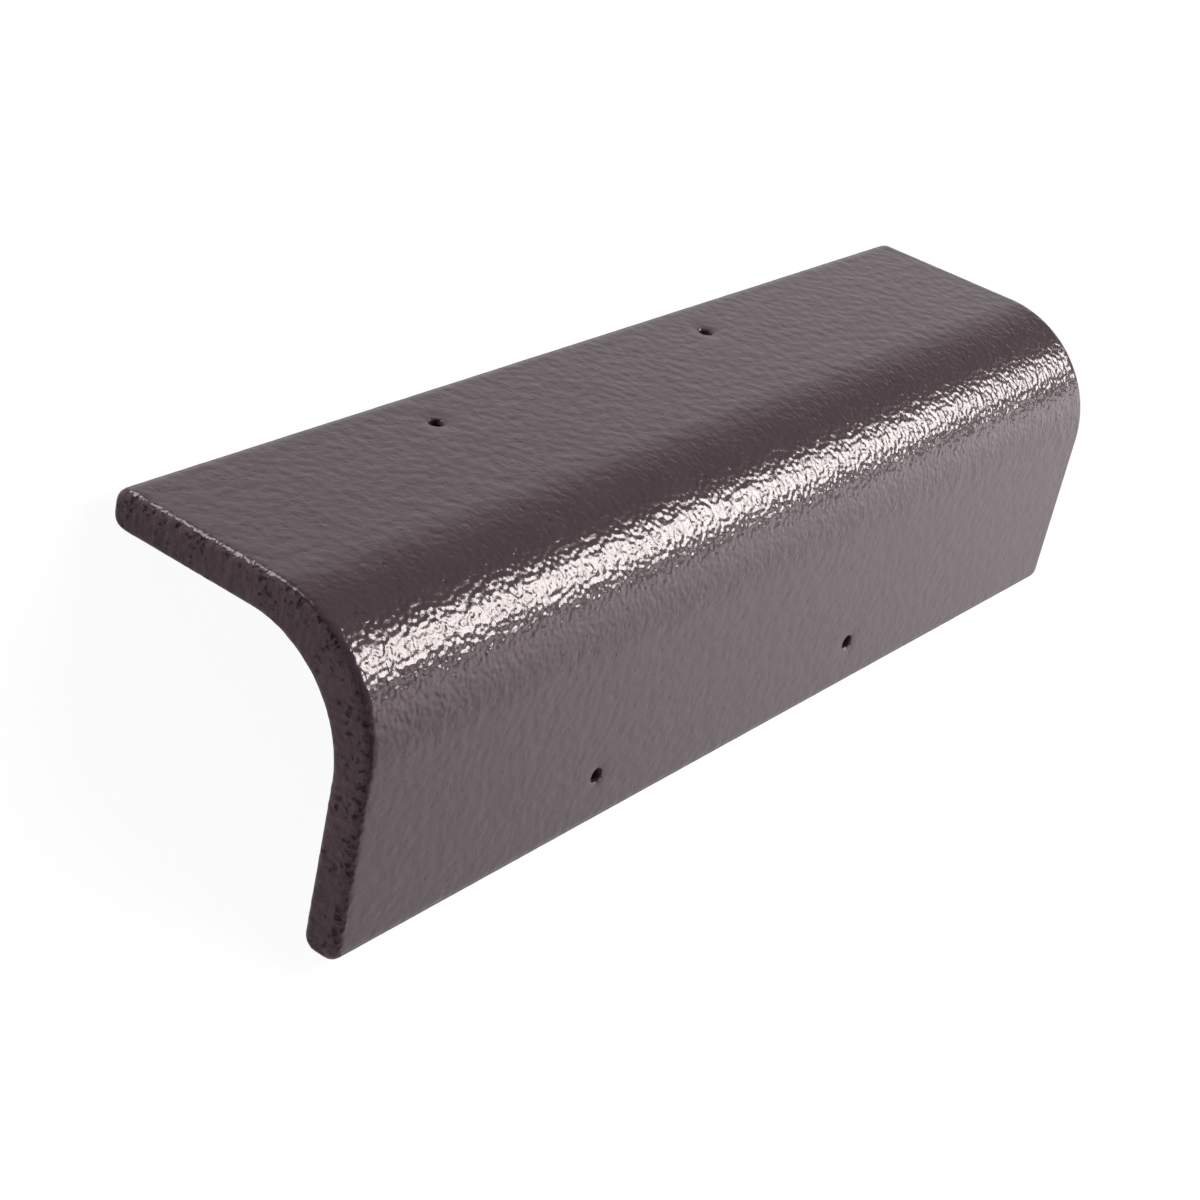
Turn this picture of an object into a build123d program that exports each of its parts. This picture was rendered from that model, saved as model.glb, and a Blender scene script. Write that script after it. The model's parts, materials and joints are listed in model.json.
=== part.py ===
"""Right-angled concrete ridge tile: two flat legs that meet in a round crest, with two nail holes in each leg.

Millimetres. +X runs along the ridge, +Z is up, and the tile stands like a tent on the tips of its legs.
The origin is on the floor, under the middle of the tile.
"""

import os
from math import cos, radians, sin

from build123d import *

# Section across the ridge
bend_angle = 90.0  # degrees between the two legs
leg_length = 106.5  # along the outer face, from the sharp corner of the bend to the tip
wall = 13.5  # thickness of a leg
crest_outer_radius = 43.0  # outside of the bend
crest_inner_radius = 37.5  # inside of the bend, which leaves the crest a little thicker than the legs
tip_radius = 5.0  # both corners of a leg's tip

# Along the ridge
tile_length = 420.0
end_radius = 3.0  # arris all round an end face

# Nail holes
nail_hole_radius = 2.5
nail_hole_mouth = 0.8  # soft round where the outer face runs into a hole
nail_hole_from_tip = 20.0  # hole centre to the leg's tip, along the outer face
nail_hole_from_end = 118.0  # first hole to the end of the tile
nail_hole_spacing = 149.0  # first hole to second hole, along the ridge

# A leg drops from the bend by leg_drop, and runs outwards by leg_run, for each millimetre of its length
half_angle = radians(bend_angle / 2)
leg_run = sin(half_angle)
leg_drop = cos(half_angle)

# The inner V lies one wall inside the outer one, and its tips are the tile's feet
inner_bend_depth = wall / leg_run
inner_leg_length = leg_length - wall * leg_drop / leg_run
inner_tip_depth = inner_bend_depth + inner_leg_length * leg_drop
foot_rounding = tip_radius * (leg_run + leg_drop - 1)  # what the rounded tip takes off the height
bend_height = inner_tip_depth - foot_rounding  # sharp outer corner of the bend, above the floor

outer_bend = (0, bend_height)
inner_bend = (0, bend_height - inner_bend_depth)
right_outer_tip = (leg_length * leg_run, bend_height - leg_length * leg_drop)
right_inner_tip = (inner_leg_length * leg_run, bend_height - inner_tip_depth)
left_outer_tip = (-right_outer_tip[0], right_outer_tip[1])
left_inner_tip = (-right_inner_tip[0], right_inner_tip[1])

first_hole_x = nail_hole_from_end - tile_length / 2
second_hole_x = first_hole_x + nail_hole_spacing
nail_hole_down_leg = leg_length - nail_hole_from_tip
drill_depth = 2 * wall  # clears the wall, and stops short of the other leg


def nail_hole_place(side, x):
    """Mouth of a hole in the leg on the +Y (1) or -Y (-1) side, square to the leg's outer face."""
    outer_face = Plane(origin=(0, 0, bend_height), x_dir=(1, 0, 0), z_dir=(0, side * leg_drop, leg_run))
    return outer_face.location * Pos(x, side * nail_hole_down_leg, 0)


with BuildPart() as ridge_tile:
    # The cast body: one section all along the ridge
    with BuildSketch(Plane.YZ):
        with BuildLine():
            FilletPolyline(
                outer_bend,
                right_outer_tip,
                right_inner_tip,
                inner_bend,
                left_inner_tip,
                left_outer_tip,
                radius=[crest_outer_radius, tip_radius, tip_radius, crest_inner_radius, tip_radius, tip_radius],
                close=True,
            )
        make_face()
    extrude(amount=tile_length / 2, both=True)

    # Soft arrises round both end faces
    fillet(ridge_tile.faces().filter_by(Axis.X).edges(), radius=end_radius)

    # Nail holes through both legs
    with Locations(*[nail_hole_place(side, x) for side in (1, -1) for x in (first_hole_x, second_hole_x)]):
        Hole(radius=nail_hole_radius, depth=drill_depth)

    # The holes' outer mouths are higher than their inner ones
    hole_rims = ridge_tile.edges(Select.LAST).filter_by(GeomType.CIRCLE)
    fillet(hole_rims.group_by(Axis.Z)[-1], radius=nail_hole_mouth)

ridge_tile.part.label = "ridge_tile"

os.makedirs("parts", exist_ok=True)
export_step(ridge_tile.part, "parts/ridge_tile.step")
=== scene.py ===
"""The ridge tile as its photograph shows it.

The cast body with its relief, its three finishes, the studio and the camera.
"""

import json
from math import cos, radians, sin, sqrt

import bpy
import numpy as np
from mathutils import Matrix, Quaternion, Vector


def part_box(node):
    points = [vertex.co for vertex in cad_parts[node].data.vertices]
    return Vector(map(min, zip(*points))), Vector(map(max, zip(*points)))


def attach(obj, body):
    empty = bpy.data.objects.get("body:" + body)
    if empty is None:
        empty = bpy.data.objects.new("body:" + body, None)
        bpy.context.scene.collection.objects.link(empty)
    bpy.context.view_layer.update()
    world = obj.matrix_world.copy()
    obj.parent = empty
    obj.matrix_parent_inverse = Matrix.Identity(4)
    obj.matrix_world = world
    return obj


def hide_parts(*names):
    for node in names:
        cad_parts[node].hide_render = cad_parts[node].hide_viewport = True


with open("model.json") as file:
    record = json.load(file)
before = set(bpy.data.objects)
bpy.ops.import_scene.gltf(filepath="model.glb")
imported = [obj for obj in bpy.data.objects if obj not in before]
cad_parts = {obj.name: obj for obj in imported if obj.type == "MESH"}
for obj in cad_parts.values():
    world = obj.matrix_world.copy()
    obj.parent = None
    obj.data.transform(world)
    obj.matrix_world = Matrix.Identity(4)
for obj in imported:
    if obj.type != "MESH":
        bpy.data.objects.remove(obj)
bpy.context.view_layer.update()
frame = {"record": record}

mm = 0.001

# Section across the ridge, as the part has it
leg_length = 106.5 * mm  # along the outer face, from the sharp corner of the bend
wall = 13.5 * mm
crest_outer_radius = 43 * mm
crest_inner_radius = 37.5 * mm
tip_radius = 5 * mm
end_radius = 3 * mm

# The frame gives the length and the height, and the section follows from them
tile_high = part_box("ridge_tile")[1]
half_length = tile_high.x
slope = sqrt(0.5)  # how far a leg runs out, and drops, for each metre of its length
bend_height = tile_high.z + crest_outer_radius * (1 / slope - 1)
crest_centre = bend_height - crest_outer_radius / slope
inner_bend_height = bend_height - wall / slope
inner_leg_length = leg_length - wall

outer_bend = (0, bend_height)
inner_bend = (0, inner_bend_height)
right_outer_tip = (leg_length * slope, bend_height - leg_length * slope)
right_inner_tip = (inner_leg_length * slope, inner_bend_height - inner_leg_length * slope)
left_outer_tip = (-right_outer_tip[0], right_outer_tip[1])
left_inner_tip = (-right_inner_tip[0], right_inner_tip[1])
section_corners = [outer_bend, right_outer_tip, right_inner_tip, inner_bend, left_inner_tip, left_outer_tip]

# Nail holes, at the places that the part gives them
nail_holes = [mount for mount in frame["record"]["mounts"] if mount["kind"] == "bore"]
nail_hole_radius = nail_holes[0]["dims"]["r_mm"] * mm
mouth_centres = [Vector(hole["pos_m"]) + Vector(hole["axis"]) * wall / 2 for hole in nail_holes]
mouth_radius = 0.8 * mm  # soft round where the outer face runs into a hole
dip_radius = 9 * mm  # the coat dips around a hole
dip_depth = 0.9 * mm

# How finely the body is divided
crest_steps = 44
tip_steps = 5
end_steps = 6
leg_cuts = 40
wall_cuts = 5
length_cuts = (99, 2)  # in two rounds
longest_step = 2 * mm  # a round divides the edges along the ridge that are longer than this
mouth_steps = 4
drill_sides = 32

near = 0.02 * mm  # two places this close are the same place

# How far a face's normal points along an axis
square_on = 0.99  # the face looks straight along the axis
weather_turn = 0.3  # upwards: from here on a face is on the weather side
arris_turn = 0.64  # along the ridge: past this the arris has the finish of the ends
tip_turn = 0.55  # upwards: below this a leg's tip has the finish of the ends
underside_turn = -0.6  # upwards: below this a face is bare concrete
foot_coat = tip_radius * 0.3  # how far the coat reaches round a foot

# Relief: the size of its grain, and its full height
coat_waves = (9 * mm, 0.11 * mm)
coat_pebbles = (3.8 * mm, 0.06 * mm)
end_grain = (2.2 * mm, 0.7 * mm)
underside_grain = (4 * mm, 0.3 * mm)
underside_margin = 8 * mm  # the underside's relief fades out over this width
relief_octaves = 2

# The weather coat's patterns, per metre, and its colours
coat_clouds = 60.0
coat_specks = 520.0
fine_peel = 560.0
coarse_peel = 260.0
coat_taupes = ((0.050, 0.0343, 0.0395, 1), (0.057, 0.0391, 0.0450, 1))
# The specks' colour is painted shade in the coat's small dented pits
speck_shade = (0.038, 0.026, 0.030, 1)
mirror_tint = (1.0, 0.88, 0.91, 1)
speck_size = 1.4
speck_dent = 0.05 * mm
peel_dimples = 0.03
peel_height = 0.30 * mm
coat_ior = 1.25
coat_specular = 0.85

# Where the glossy skin of the crest, the arrises and the holes' rims turns into the duller skin of the legs
crest_edge = (12 * mm, 30 * mm)  # out from the ridge line
arris_edge = (half_length - 2 * mm, half_length - end_radius)  # along the ridge, from the middle
rim_edge = (0.44, 0.36)  # in the dip around a hole

# The weather coat's values on the glossy skin, then on the dull one
speck_share = (0.10, 0.34)
fine_peel_share = (1.0, 0.27)
coarse_peel_share = (0.4, 0.9)
coat_roughness = (0.19, 0.32)

# The coat of the ends and tips
end_streaks = 420.0
end_pits = 520.0
pit_clusters = 110.0
end_grains = 420.0
end_taupes = ((0.068, 0.044, 0.053, 1), (0.102, 0.067, 0.079, 1))
# The pits' colour is painted shade in the open pits of the ends
pit_shade = (0.029, 0.019, 0.023, 1)
pit_levels = (0.15, 0.75)  # depth in the wall, between which the pits thin out
pit_share = (1.0, 0.12)
pit_size = 2.3
pit_depth = 0.6 * mm
end_grain_height = 0.5 * mm
end_roughness = 0.5
end_ior = 1.25
end_specular = 0.35

# The bare concrete
concrete_clouds = 45.0
concrete_pores = 240.0
concrete_sand = 800.0
concrete_greys = ((0.19, 0.172, 0.160, 1), (0.28, 0.257, 0.24, 1))
# The pores' colour is painted shade in the concrete's open pores
pore_shade = (0.06, 0.052, 0.048, 1)
pore_share = 0.16
pore_size = 1.2
pore_depth = 0.6 * mm
sand_height = 0.4 * mm
sand_dimples = 0.3
concrete_roughness = 0.85

# Studio, in metres; a lamp's level is how bright its face looks
white = (1, 1, 1)
warm = (1.0, 1.0, 0.955)
rosy = (1.0, 0.95, 0.97)
lamp_power = 4  # watts for each square metre of a lamp's face, at level 1
softbox_side = -0.08
softbox_height = 2.4
long_softbox = (  # name, start and end along the ridge, width, level
    ("long_softbox_near", 1.5, 2.6, 0.94, 28.5),
    ("long_softbox_middle", 2.6, 3.3, 0.80, 19.5),
    ("long_softbox_far", 3.3, 4.5, 0.88, 14.5),
)
panel_place = (2.1, -0.8)
panel_length = 3.0
left_panel = (  # name, height of its middle, its own height, level
    ("left_panel_low", 0.2, 0.4, 1.15),
    ("left_panel_middle", 0.575, 0.35, 1.75),
    ("left_panel_high", 0.925, 0.35, 2.5),
    ("left_panel_top", 1.35, 0.5, 3.2),
)
small_lamps = (  # name, spot, facing, width, height, level, tint
    ("left_fill", (0.2, -0.8, 0.5), (0, 1, 0), 0.8, 1.0, 0.85, rosy),
    ("right_lamp", (-0.33, 1.3, 0.24), (0.2, -1, -0.1), 0.7, 0.3, 11.0, white),
    ("right_lamp_high", (-0.30, 1.3, 0.74), (0.2, -1, -0.4), 0.26, 0.7, 5.5, white),
    ("camera_fill", (-1.3, 0, 1.6), (1.3, 0, -1.6), 0.9, 0.9, 0.45, white),
)
room_tint = (1, 0.93, 0.95, 1)
room_levels = (0.75, 0.045)  # at the horizon, and above it
room_rise = 0.32  # how far up the horizon's light reaches
floor_size = 60
floor_paper = (0.9, 0.9, 0.9, 1)
floor_white = 0.95  # the rest shows the tile's shadow

# Camera
camera_place = (-0.68927, -0.01399, 0.57218)
camera_aim = (0.75463, 0.00353, -0.65614)
camera_roll = radians(65.42)
camera_lens = 77.663
camera_sensor = 36


def points_of(tile):
    """All the corners of the mesh as one array."""
    points = np.empty(len(tile.data.vertices) * 3, np.float32)
    tile.data.vertices.foreach_get("co", points)
    return points.reshape(-1, 3)


def choose_edges(tile, test):
    """Selects the edges whose two ends pass the test, and goes to edit mode."""
    bpy.ops.object.mode_set(mode="OBJECT")
    bpy.context.tool_settings.mesh_select_mode = (False, True, False)
    mesh = tile.data
    points = points_of(tile)
    ends = np.empty(len(mesh.edges) * 2, np.int32)
    mesh.edges.foreach_get("vertices", ends)
    start, end = points[ends[0::2]], points[ends[1::2]]
    mesh.vertices.foreach_set("select", np.zeros(len(mesh.vertices), bool))
    mesh.polygons.foreach_set("select", np.zeros(len(mesh.polygons), bool))
    mesh.edges.foreach_set("select", test(start, end))
    bpy.ops.object.mode_set(mode="EDIT")


def choose_faces(piece, test):
    """Selects the faces whose normal and area pass the test, and goes to edit mode."""
    bpy.ops.object.mode_set(mode="OBJECT")
    bpy.context.tool_settings.mesh_select_mode = (False, False, True)
    mesh = piece.data
    mesh.vertices.foreach_set("select", np.zeros(len(mesh.vertices), bool))
    mesh.edges.foreach_set("select", np.zeros(len(mesh.edges), bool))
    for face in mesh.polygons:
        face.select = test(face.normal, face.area)
    bpy.ops.object.mode_set(mode="EDIT")


def along_ridge(start, end):
    """Which edges run along the ridge."""
    return np.abs(start - end)[:, 1:].max(axis=1) < near


def across_ridge(start, end):
    """Which edges lie in one section across the ridge."""
    return np.abs(start - end)[:, 0] < near


def edge_length(start, end):
    return np.linalg.norm(start - end, axis=1)


def at_corner(corner):
    """A test for the long edge through one corner of the section."""
    def test(start, end):
        offset = np.abs(start[:, 1:] - np.array(corner)).max(axis=1)
        return along_ridge(start, end) & (offset < near)
    return test


def in_end_face(start, end):
    """Which edges lie in the plane of an end face."""
    return (np.abs(start[:, 0]) > half_length - near) & across_ridge(start, end)


def end_face_sides(side):
    """A test for an end face's outer and inner sides, without the flats at the leg tips."""
    def down_leg(points):
        return (np.abs(points[:, 1]) + bend_height - points[:, 2]) * slope

    def test(start, end):
        tip = leg_length - end_radius - near
        at_tip = (down_leg(start) > tip) & (down_leg(end) > tip)
        return in_end_face(start, end) & (start[:, 0] * side > 0) & ~at_tip
    return test


def round_off(tile, test, radius, steps):
    """Rounds the chosen square corners."""
    choose_edges(tile, test)
    bpy.ops.mesh.bevel(
        affect="EDGES", offset_type="OFFSET", offset=radius, segments=steps, profile=0.5,
        clamp_overlap=False,
    )


def divide(tile, test, cuts):
    choose_edges(tile, test)
    bpy.ops.mesh.subdivide(number_cuts=cuts)


def cast_body():
    """The tile as it leaves its mould: the section drawn out along the ridge, with every corner rounded."""
    bpy.ops.object.select_all(action="DESELECT")
    bpy.ops.mesh.primitive_circle_add(vertices=len(section_corners), fill_type="NGON")
    tile = bpy.context.object
    tile.name = "coated_ridge_tile"
    for vertex, (y, z) in zip(tile.data.vertices, section_corners):
        vertex.co = (-half_length, y, z)
    bpy.ops.object.mode_set(mode="EDIT")
    bpy.ops.mesh.select_all(action="SELECT")
    bpy.ops.mesh.extrude_region_move(TRANSFORM_OT_translate={"value": (2 * half_length, 0, 0)})

    round_off(tile, at_corner(outer_bend), crest_outer_radius, crest_steps)
    round_off(tile, at_corner(inner_bend), crest_inner_radius, crest_steps)
    for corner in (right_outer_tip, right_inner_tip, left_outer_tip, left_inner_tip):
        round_off(tile, at_corner(corner), tip_radius, tip_steps)
    round_off(tile, in_end_face, end_radius, end_steps)

    # The legs, then the tips' flats, then the length, are divided for the relief
    tip_flat = wall - 2 * tip_radius
    divide(tile, lambda a, b: across_ridge(a, b) & (edge_length(a, b) > wall), leg_cuts)
    divide(tile, lambda a, b: across_ridge(a, b) & (edge_length(a, b) > tip_flat - near), wall_cuts)
    for cuts in length_cuts:
        divide(tile, lambda a, b: along_ridge(a, b) & (edge_length(a, b) > longest_step), cuts)

    # Each end face becomes rows of small faces between its outer and inner sides
    choose_faces(tile, lambda normal, area: abs(normal.x) > square_on and area > wall * wall)
    bpy.ops.mesh.delete(type="ONLY_FACE")
    for side in (-1, 1):
        choose_edges(tile, end_face_sides(side))
        bpy.ops.mesh.bridge_edge_loops(number_cuts=wall_cuts, interpolation="LINEAR")
    bpy.ops.mesh.select_all(action="SELECT")
    bpy.ops.mesh.remove_doubles(threshold=near)
    bpy.ops.mesh.normals_make_consistent(inside=False)
    bpy.ops.object.mode_set(mode="OBJECT")
    return tile


def mark(tile, name, weight):
    """A named zone of the tile's surface."""
    zone = tile.vertex_groups.new(name=name)
    for vertex in tile.data.vertices:
        share = weight(vertex.co, vertex.normal)
        if share > 0:
            zone.add([vertex.index], share, "REPLACE")
    return zone.name


def displace(tile, name, zone, height, still, pattern=None):
    """Moves a zone of the surface along its normals, evenly or by a pattern whose still tone stays put."""
    relief = tile.modifiers.new(name, "DISPLACE")
    relief.direction = "NORMAL"
    relief.vertex_group = zone
    relief.strength = height
    relief.mid_level = still
    if pattern is not None:
        relief.texture = pattern
        relief.texture_coords = "LOCAL"
    bpy.context.view_layer.objects.active = tile
    bpy.ops.object.modifier_apply(modifier=relief.name)


def dip_share(from_hole):
    """1 in the middle of a nail hole's mouth, fading out at the edge of the dip around it."""
    return max(0.0, 1 - from_hole / dip_radius) ** 2


def hole_dip(point, normal):
    """How far a point of the weather side lies in the dip around its nearest nail hole."""
    if normal.z < weather_turn:
        return 0.0
    return dip_share(min((point - centre).length for centre in mouth_centres))


def dip_coat(tile):
    """Sinks the coat a little around each nail hole."""
    displace(tile, "hole_dips", mark(tile, "hole_dips", hole_dip), -dip_depth, 0.0)


def nail_drill():
    """The shape that one nail hole takes away, standing on its axis, with its soft mouth at the top."""
    bpy.ops.object.select_all(action="DESELECT")
    rim_dip = dip_depth * dip_share(nail_hole_radius + mouth_radius)
    bottom, top = -wall, wall / 2 - rim_dip - mouth_radius
    middle = (0, 0, (top + bottom) / 2)
    bpy.ops.mesh.primitive_cylinder_add(
        vertices=drill_sides, radius=nail_hole_radius, depth=top - bottom, location=middle
    )
    drill = bpy.context.object
    bpy.ops.object.transform_apply(location=True, rotation=True, scale=True)
    choose_faces(drill, lambda normal, area: normal.z > square_on)
    width, level = nail_hole_radius, 0.0
    for step in range(1, mouth_steps + 1):
        turn = radians(90 * step / mouth_steps)
        wider = nail_hole_radius + mouth_radius * (1 - cos(turn))
        higher = mouth_radius * sin(turn)
        bpy.ops.mesh.extrude_region_move(TRANSFORM_OT_translate={"value": (0, 0, higher - level)})
        bpy.ops.transform.resize(value=(wider / width, wider / width, 1))
        width, level = wider, higher
    bpy.ops.mesh.extrude_region_move(TRANSFORM_OT_translate={"value": (0, 0, wall / 2)})
    bpy.ops.object.mode_set(mode="OBJECT")
    return drill


def drill_nail_holes(tile):
    """Takes the nail holes out of both legs."""
    drill = nail_drill()
    drill.rotation_mode = "QUATERNION"
    for hole in nail_holes:
        drill.location = hole["pos_m"]
        drill.rotation_quaternion = Vector(hole["axis"]).to_track_quat("Z", "Y")
        cut = tile.modifiers.new("nail_hole", "BOOLEAN")
        cut.operation = "DIFFERENCE"
        cut.solver = "EXACT"
        cut.object = drill
        bpy.context.view_layer.objects.active = tile
        bpy.ops.object.modifier_apply(modifier=cut.name)
    bpy.data.objects.remove(drill)


def limited(share):
    """A share that stays between 0 and 1."""
    return max(0.0, min(1.0, share))


def weather_side(point, normal):
    """1 on the coated outer faces and the leg tips, 0 on the underside and the end faces."""
    return limited(0.5 + 2 * normal.z) * (1 - abs(normal.x))


def end_face(point, normal):
    """1 on the end faces, fading out round the arris."""
    return limited(2 * abs(normal.x) - 1)


def underside(point, normal):
    """1 on the inner faces, fading out towards their edges."""
    from_end = half_length - abs(point.x) - end_radius
    from_tip = (inner_leg_length - tip_radius) - (inner_bend_height - point.z) / slope
    return limited(0.5 - 2 * normal.z) * limited(min(from_end, from_tip) / underside_margin)


def relieve(tile, name, zone, size, height):
    """Raises and sinks a zone of the surface by a soft random relief of that grain size and full height."""
    pattern = bpy.data.textures.new(name, type="CLOUDS")
    pattern.noise_scale = size
    pattern.noise_depth = relief_octaves
    displace(tile, name, zone, height, 0.5, pattern)


def surface_relief(tile):
    """The waves and pebbles of the sprayed coat, the grain of the end faces and the rough underside."""
    weather = mark(tile, "weather_side", weather_side)
    ends = mark(tile, "end_faces", end_face)
    below = mark(tile, "underside", underside)
    relieve(tile, "coat_waves", weather, *coat_waves)
    relieve(tile, "coat_pebbles", weather, *coat_pebbles)
    relieve(tile, "end_grain", ends, *end_grain)
    relieve(tile, "underside_grain", below, *underside_grain)
    tile.vertex_groups.clear()


def depth_in_wall(point, normal):
    """How deep a point lies under the weather face, as a share of the wall."""
    out, up = abs(point.y), point.z - crest_centre
    if up > out:
        depth = crest_outer_radius - sqrt(out * out + up * up)
    else:
        depth = (bend_height - out - point.z) * slope
    return depth / wall


def keep_measure(tile, name, measure):
    """Keeps a measure of every point of the surface, for the finishes to read."""
    kept = tile.data.attributes.new(name, "FLOAT", "POINT")
    for vertex, entry in zip(tile.data.vertices, kept.data):
        entry.value = measure(vertex.co, vertex.normal)


def place(tree, kind, inputs=None, **settings):
    """Adds a node, sets it, and joins or fills its inputs."""
    node = tree.nodes.new(kind)
    for name, value in settings.items():
        setattr(node, name, value)
    for socket, value in (inputs or {}).items():
        if isinstance(value, bpy.types.NodeSocket):
            tree.links.new(value, node.inputs[socket])
        else:
            node.inputs[socket].default_value = value
    return node


def calculate(tree, operation, *values):
    """One step of arithmetic."""
    return place(tree, "ShaderNodeMath", dict(enumerate(values)), operation=operation).outputs[0]


def move(tree, operation, inputs):
    """One step of arithmetic with places."""
    return place(tree, "ShaderNodeVectorMath", inputs, operation=operation).outputs[0]


def ramp(tree, value, start, end, first=0.0, last=1.0, smooth=False):
    """Goes from first to last while a value goes from start to end."""
    levels = {"Value": value, "From Min": start, "From Max": end, "To Min": first, "To Max": last}
    way = "SMOOTHSTEP" if smooth else "LINEAR"
    return place(tree, "ShaderNodeMapRange", levels, interpolation_type=way).outputs[0]


def noise(tree, position, per_metre, detail, roughness=0.5):
    """Soft random tones and colours."""
    values = {"Vector": position, "Scale": per_metre, "Detail": detail, "Roughness": roughness}
    return place(tree, "ShaderNodeTexNoise", values).outputs


def cells(tree, position, per_metre):
    """Random cells, each with its own colour and the distance from its middle."""
    inputs = {"Vector": position, "Scale": per_metre}
    return place(tree, "ShaderNodeTexVoronoi", inputs, feature="F1").outputs


def blend(tree, share, first, second):
    """A colour between two colours."""
    return place(tree, "ShaderNodeMix", {0: share, 6: first, 7: second}, data_type="RGBA").outputs[2]


def raised(tree, height, distance):
    """The normal of a skin with that relief."""
    inputs = {"Strength": 1.0, "Distance": distance, "Height": height}
    return place(tree, "ShaderNodeBump", inputs).outputs[0]


def pitted(tree, mask, depth, skin):
    """The normal of a skin with pits sunk into it."""
    inputs = {"Strength": 1.0, "Distance": depth, "Height": mask, "Normal": skin}
    return place(tree, "ShaderNodeBump", inputs, invert=True).outputs[0]


def effect(name, values, result):
    """A new node group that makes one value of a position and some other values."""
    tree = bpy.data.node_groups.new(name, "ShaderNodeTree")
    tree.interface.new_socket(name="Position", in_out="INPUT", socket_type="NodeSocketVector")
    for value in values:
        tree.interface.new_socket(name=value, in_out="INPUT", socket_type="NodeSocketFloat")
    tree.interface.new_socket(name=result, in_out="OUTPUT", socket_type="NodeSocketFloat")
    return tree, tree.nodes.new("NodeGroupInput").outputs, tree.nodes.new("NodeGroupOutput").inputs[result]


def use(tree, group, position, values):
    """Places an effect in a material."""
    return place(tree, "ShaderNodeGroup", {"Position": position, **values}, node_tree=group).outputs[0]


def orange_peel():
    """The skin of a sprayed coat: soft swells of one size, with small dimples between them."""
    dimples_to_a_grain = 2.1
    dimple_edge = (0.05, 0.42)
    tree, given, height = effect("orange_peel", ("Grains per metre", "Dimples"), "Height")
    swells = noise(tree, given["Position"], given["Grains per metre"], 0.0)["Fac"]
    finer = calculate(tree, "MULTIPLY", given["Grains per metre"], dimples_to_a_grain)
    distance = cells(tree, given["Position"], finer)["Distance"]
    rim = ramp(tree, distance, *dimple_edge, smooth=True)
    tree.links.new(calculate(tree, "MULTIPLY_ADD", rim, given["Dimples"], swells), height)
    return tree


def open_pores():
    """Small scattered pits of sand-sized grain, with ragged outlines."""
    stray = 1.2  # how far an outline strays, in cells
    narrowest = 0.15
    spread = 0.3  # what chance adds to the width
    floor_share = 0.3  # how much of the width is a pit's floor
    tree, given, mask = effect("open_pores", ("Pores per metre", "Share", "Size"), "Mask")
    ragged = noise(tree, given["Position"], given["Pores per metre"], 2.0)["Color"]
    shift = move(tree, "ADD", {0: ragged, 1: (-0.5, -0.5, -0.5)})
    reach = calculate(tree, "DIVIDE", stray, given["Pores per metre"])
    shift = move(tree, "SCALE", {0: shift, "Scale": reach})
    bent = move(tree, "ADD", {0: given["Position"], 1: shift})
    pits = cells(tree, bent, given["Pores per metre"])
    chance = place(tree, "ShaderNodeSeparateColor", {"Color": pits["Color"]}).outputs
    is_open = calculate(tree, "LESS_THAN", chance[0], given["Share"])
    width = calculate(tree, "MULTIPLY_ADD", chance[1], spread, narrowest)
    width = calculate(tree, "MULTIPLY", width, given["Size"])
    floor = calculate(tree, "MULTIPLY", width, floor_share)
    core = ramp(tree, pits["Distance"], width, floor, smooth=True)
    tree.links.new(calculate(tree, "MULTIPLY", core, is_open), mask)
    return tree


def cloudy_tone():
    """Slow changes of tone, as a mix of pigment and cement has."""
    tree, given, tone = effect("cloudy_tone", ("Clouds per metre",), "Tone")
    clouds = noise(tree, given["Position"], given["Clouds per metre"], 5.0, 0.6)["Fac"]
    tree.links.new(ramp(tree, clouds, 0.3, 0.7), tone)
    return tree


def wall_streaks():
    """Fine streaks through the thickness of the wall, as a cut or struck end has."""
    stretch = 0.12  # a streak's width for its length
    tree, given, tone = effect("wall_streaks", ("Streaks per metre",), "Tone")
    at = place(tree, "ShaderNodeSeparateXYZ", {"Vector": given["Position"]}).outputs
    out = calculate(tree, "ABSOLUTE", at["Y"])
    down = calculate(tree, "SUBTRACT", out, at["Z"])
    through = calculate(tree, "MULTIPLY", calculate(tree, "ADD", out, at["Z"]), stretch)
    turned = place(tree, "ShaderNodeCombineXYZ", {"X": down, "Y": through, "Z": at["X"]}).outputs[0]
    lines = noise(tree, turned, given["Streaks per metre"], 3.0, 0.6)["Fac"]
    tree.links.new(ramp(tree, lines, 0.3, 0.7), tone)
    return tree


def new_finish(name):
    """An empty material, its shader and the position on the piece."""
    finish = bpy.data.materials.new(name)
    finish.use_nodes = True
    tree = finish.node_tree
    position = tree.nodes.new("ShaderNodeTexCoord").outputs["Object"]
    return finish, tree, tree.nodes["Principled BSDF"], position


def measured(tree, name):
    """A measure that the tile keeps for every point of its surface."""
    return place(tree, "ShaderNodeAttribute", attribute_name=name).outputs["Fac"]


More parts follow.
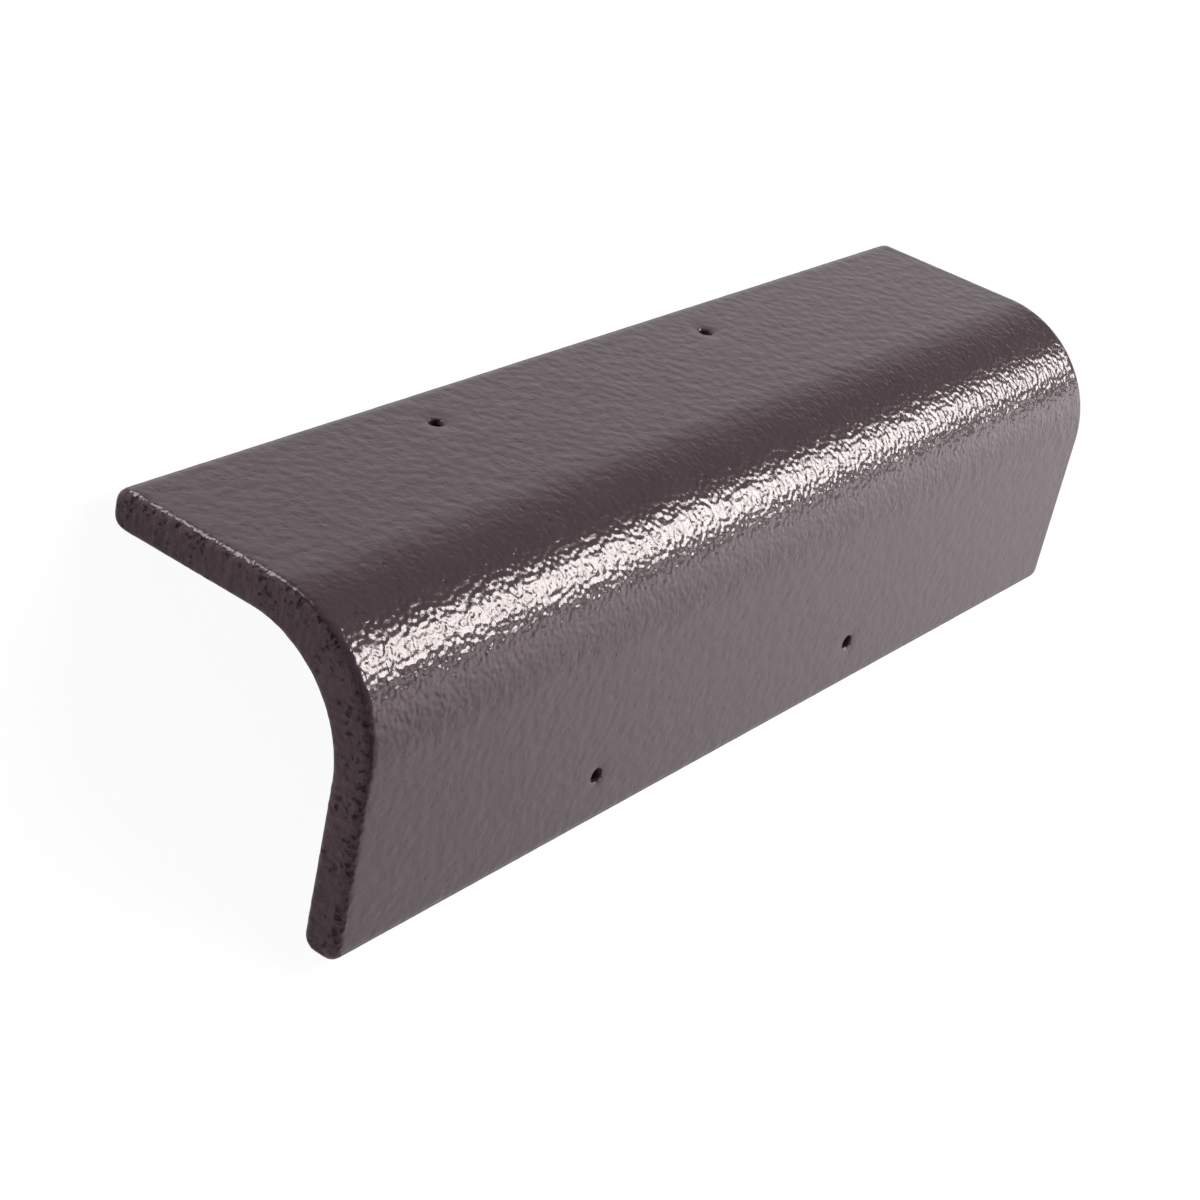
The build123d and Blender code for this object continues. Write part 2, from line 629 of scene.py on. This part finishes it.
def weather_coat(peel, pores, tone):
    """The taupe coat of the outer faces, glossiest on the crest, the arrises and the holes' rims, with
    painted shade in its small pits.
    """
    finish, tree, shader, position = new_finish("weather_coat")
    at = place(tree, "ShaderNodeSeparateXYZ", {"Vector": position}).outputs
    off_crest = ramp(tree, calculate(tree, "ABSOLUTE", at["Y"]), *crest_edge, smooth=True)
    off_arris = ramp(tree, calculate(tree, "ABSOLUTE", at["X"]), *arris_edge, smooth=True)
    off_rim = ramp(tree, measured(tree, "hole_dip"), *rim_edge, smooth=True)
    dull = calculate(tree, "MULTIPLY", calculate(tree, "MULTIPLY", off_crest, off_arris), off_rim)

    clouds = use(tree, tone, position, {"Clouds per metre": coat_clouds})
    share = ramp(tree, dull, 0.0, 1.0, *speck_share)
    specks = use(
        tree, pores, position, {"Pores per metre": coat_specks, "Share": share, "Size": speck_size}
    )
    colour = blend(tree, clouds, *coat_taupes)
    # The specks are small pits: their dark colour is painted shade, their dent is real relief
    colour = blend(tree, specks, colour, speck_shade)

    fine = use(tree, peel, position, {"Grains per metre": fine_peel, "Dimples": peel_dimples})
    coarse = use(tree, peel, position, {"Grains per metre": coarse_peel, "Dimples": peel_dimples})
    skin = calculate(tree, "MULTIPLY", fine, ramp(tree, dull, 0.0, 1.0, *fine_peel_share))
    skin = calculate(tree, "MULTIPLY_ADD", coarse, ramp(tree, dull, 0.0, 1.0, *coarse_peel_share), skin)
    relief = pitted(tree, specks, speck_dent, raised(tree, skin, peel_height))

    tree.links.new(colour, shader.inputs["Base Color"])
    tree.links.new(ramp(tree, dull, 0.0, 1.0, *coat_roughness), shader.inputs["Roughness"])
    tree.links.new(relief, shader.inputs["Normal"])
    shader.inputs["IOR"].default_value = coat_ior
    shader.inputs["Specular IOR Level"].default_value = coat_specular
    shader.inputs["Specular Tint"].default_value = mirror_tint
    return finish


def end_coat(peel, pores, tone, streaks):
    """The thin coat over the open grain of the ends and tips, most pitted towards the weather face, its
    pits painted dark as their shade.
    """
    finish, tree, shader, position = new_finish("end_coat")
    lines = use(tree, streaks, position, {"Streaks per metre": end_streaks})
    clusters = use(tree, tone, position, {"Clouds per metre": pit_clusters})
    share = ramp(tree, measured(tree, "depth_in_wall"), *pit_levels, *pit_share)
    share = calculate(tree, "MULTIPLY", share, clusters)
    pits = use(tree, pores, position, {"Pores per metre": end_pits, "Share": share, "Size": pit_size})
    colour = blend(tree, lines, *end_taupes)
    # The pits' dark colour is painted shade; they are also sunk by the bump below
    colour = blend(tree, pits, colour, pit_shade)

    grain = use(tree, peel, position, {"Grains per metre": end_grains, "Dimples": sand_dimples})
    relief = pitted(tree, pits, pit_depth, raised(tree, grain, end_grain_height))

    tree.links.new(colour, shader.inputs["Base Color"])
    tree.links.new(relief, shader.inputs["Normal"])
    shader.inputs["Roughness"].default_value = end_roughness
    shader.inputs["IOR"].default_value = end_ior
    shader.inputs["Specular IOR Level"].default_value = end_specular
    return finish


def bare_concrete(peel, pores, tone):
    """The uncoated concrete of the underside, its pores painted dark as their shade."""
    finish, tree, shader, position = new_finish("bare_concrete")
    clouds = use(tree, tone, position, {"Clouds per metre": concrete_clouds})
    holes = use(
        tree, pores, position, {"Pores per metre": concrete_pores, "Share": pore_share, "Size": pore_size}
    )
    colour = blend(tree, clouds, *concrete_greys)
    # The pores' dark colour is painted shade; they are also sunk by the bump below
    colour = blend(tree, holes, colour, pore_shade)

    sand = use(tree, peel, position, {"Grains per metre": concrete_sand, "Dimples": sand_dimples})
    relief = pitted(tree, holes, pore_depth, raised(tree, sand, sand_height))

    tree.links.new(colour, shader.inputs["Base Color"])
    tree.links.new(relief, shader.inputs["Normal"])
    shader.inputs["Roughness"].default_value = concrete_roughness
    return finish


def finish_tile(tile):
    """Gives the outer faces, the ends with the tips, and the underside their finishes."""
    peel, pores, tone = orange_peel(), open_pores(), cloudy_tone()
    tile.data.materials.append(weather_coat(peel, pores, tone))
    tile.data.materials.append(end_coat(peel, pores, tone, wall_streaks()))
    tile.data.materials.append(bare_concrete(peel, pores, tone))
    on_coat, on_end, on_concrete = 0, 1, 2
    foot = right_inner_tip[0]
    for face in tile.data.polygons:
        turn, out = face.normal, abs(face.center.y)
        if abs(turn.x) > arris_turn or (turn.z < tip_turn and out > foot):
            face.material_index = on_end
        elif turn.z < underside_turn and out + face.center.z < foot - foot_coat:
            face.material_index = on_concrete
        else:
            face.material_index = on_coat
    bpy.ops.object.select_all(action="DESELECT")
    tile.select_set(True)
    bpy.context.view_layer.objects.active = tile
    bpy.ops.object.shade_smooth()


def studio_floor():
    """A plain pale floor that shows white, with the tile's own faint shadow."""
    bpy.ops.object.select_all(action="DESELECT")
    bpy.ops.mesh.primitive_plane_add(size=floor_size)
    floor = bpy.context.object
    floor.name = "studio_floor"
    paper = bpy.data.materials.new("floor_paper")
    paper.use_nodes = True
    tree = paper.node_tree
    tree.nodes.clear()
    rays = tree.nodes.new("ShaderNodeLightPath").outputs
    seen = calculate(tree, "MAXIMUM", rays["Is Camera Ray"], rays["Is Glossy Ray"])
    seen = calculate(tree, "MAXIMUM", seen, rays["Is Transmission Ray"])
    shown = calculate(tree, "MULTIPLY", seen, floor_white)
    matt = place(tree, "ShaderNodeBsdfDiffuse", {"Color": floor_paper}).outputs[0]
    glow = place(tree, "ShaderNodeEmission", {"Color": (1, 1, 1, 1), "Strength": 1.0}).outputs[0]
    mixed = place(tree, "ShaderNodeMixShader", {0: shown, 1: matt, 2: glow}).outputs[0]
    place(tree, "ShaderNodeOutputMaterial", {"Surface": mixed})
    floor.data.materials.append(paper)


def softbox(name, spot, facing, width, height, level, tint):
    """A soft lamp at a spot, facing a direction."""
    lamp = bpy.data.lights.new(name, "AREA")
    lamp.shape = "RECTANGLE"
    lamp.size = width
    lamp.size_y = height
    lamp.energy = level * lamp_power * width * height
    lamp.color = tint
    stand = bpy.data.objects.new(name, lamp)
    bpy.context.scene.collection.objects.link(stand)
    stand.location = spot
    stand.rotation_mode = "QUATERNION"
    stand.rotation_quaternion = Vector(facing).to_track_quat("-Z", "Y")
    stand.visible_camera = False


def studio_light():
    """A long softbox high past the far end, a panel along the left that is brighter at its top, and lamps.

    The small lamps fill the left side, light the near arris from the right and fill from behind the camera.
    The room is dim, and pale at the horizon.
    """
    for name, start, end, width, level in long_softbox:
        spot = ((start + end) / 2, softbox_side, softbox_height)
        softbox(name, spot, (0, 0, -1), end - start, width, level, warm)
    for name, middle, height, level in left_panel:
        softbox(name, (*panel_place, middle), (0, 1, 0), panel_length, height, level, rosy)
    for lamp in small_lamps:
        softbox(*lamp)
    room = bpy.data.worlds.new("room")
    room.use_nodes = True
    tree = room.node_tree
    ways = tree.nodes.new("ShaderNodeTexCoord").outputs["Generated"]
    rise = place(tree, "ShaderNodeSeparateXYZ", {"Vector": ways}).outputs["Z"]
    level = ramp(tree, rise, 0.0, room_rise, *room_levels, smooth=True)
    tree.links.new(level, tree.nodes["Background"].inputs["Strength"])
    tree.nodes["Background"].inputs["Color"].default_value = room_tint
    bpy.context.scene.world = room


def photo_camera():
    """The photograph's viewpoint: high over the near end, rolled until the ridge lies as it does there."""
    lens = bpy.data.cameras.new("photo_camera")
    lens.sensor_width = camera_sensor
    lens.lens = camera_lens
    camera = bpy.data.objects.new("photo_camera", lens)
    bpy.context.scene.collection.objects.link(camera)
    camera.location = camera_place
    camera.rotation_mode = "QUATERNION"
    roll = Quaternion((0, 0, 1), camera_roll)
    camera.rotation_quaternion = Vector(camera_aim).to_track_quat("-Z", "Y") @ roll
    bpy.context.scene.camera = camera


photo_camera()
tile = cast_body()
dip_coat(tile)
drill_nail_holes(tile)
surface_relief(tile)
keep_measure(tile, "depth_in_wall", depth_in_wall)
keep_measure(tile, "hole_dip", hole_dip)
finish_tile(tile)
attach(tile, "root")
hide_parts("ridge_tile")
studio_floor()
studio_light()
bpy.context.scene.view_settings.view_transform = "Standard"
